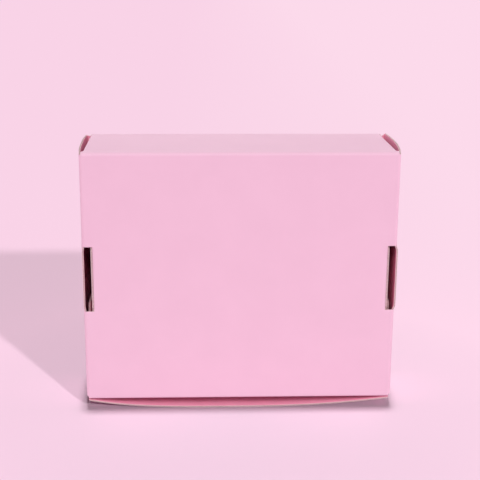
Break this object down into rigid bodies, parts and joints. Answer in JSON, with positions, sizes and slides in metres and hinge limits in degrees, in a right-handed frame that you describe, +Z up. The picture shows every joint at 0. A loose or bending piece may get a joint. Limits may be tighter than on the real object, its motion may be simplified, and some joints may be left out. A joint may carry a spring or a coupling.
{
  "type": "folding mailer box",
  "caption": "Corrugated mailer box folded from a blank, with rolled side walls, tabs that lock in base slots, a hinged lid and a bowed front flap worn outside.",
  "frame": {"origin": "centre of the footprint, on the surface that the box stands on", "axes": "+Z up with the box standing on its front flap, -Y out of the base panel, +Y out of the lid, +X to the right of a person who faces the base panel"},
  "size_m": [0.2568, 0.078, 0.2148],
  "materials": {
    "printed_board": "matte"
  },
  "bodies": {
    "tray": {"base_panel": "printed_board", "front_wall": "printed_board", "back_wall": "printed_board", "left_outer_side": "printed_board", "left_side_rim": "printed_board", "left_inner_side": "printed_board", "left_front_wall_ear": "printed_board", "left_back_wall_ear": "printed_board", "right_outer_side": "printed_board", "right_side_rim": "printed_board", "right_inner_side": "printed_board", "right_front_wall_ear": "printed_board", "right_back_wall_ear": "printed_board"},
    "lid": {"lid_panel": "printed_board"},
    "flap": {"front_flap": "printed_board", "left_lock_ear": "printed_board", "right_lock_ear": "printed_board"}
  },
  "joints": [
    {"name": "lid_hinge", "type": "hinge", "parent": "tray", "child": "lid", "pos_m": [0, 0.039, 0.2148], "axis": [1, 0, 0], "range_deg": [0, 180], "deforming": ["left_lock_ear", "right_lock_ear"]},
    {"name": "flap_hinge", "type": "hinge", "parent": "lid", "child": "flap", "pos_m": [0, 0.039, 0], "axis": [1, 0, 0], "range_deg": [0, 110]}
  ]
}
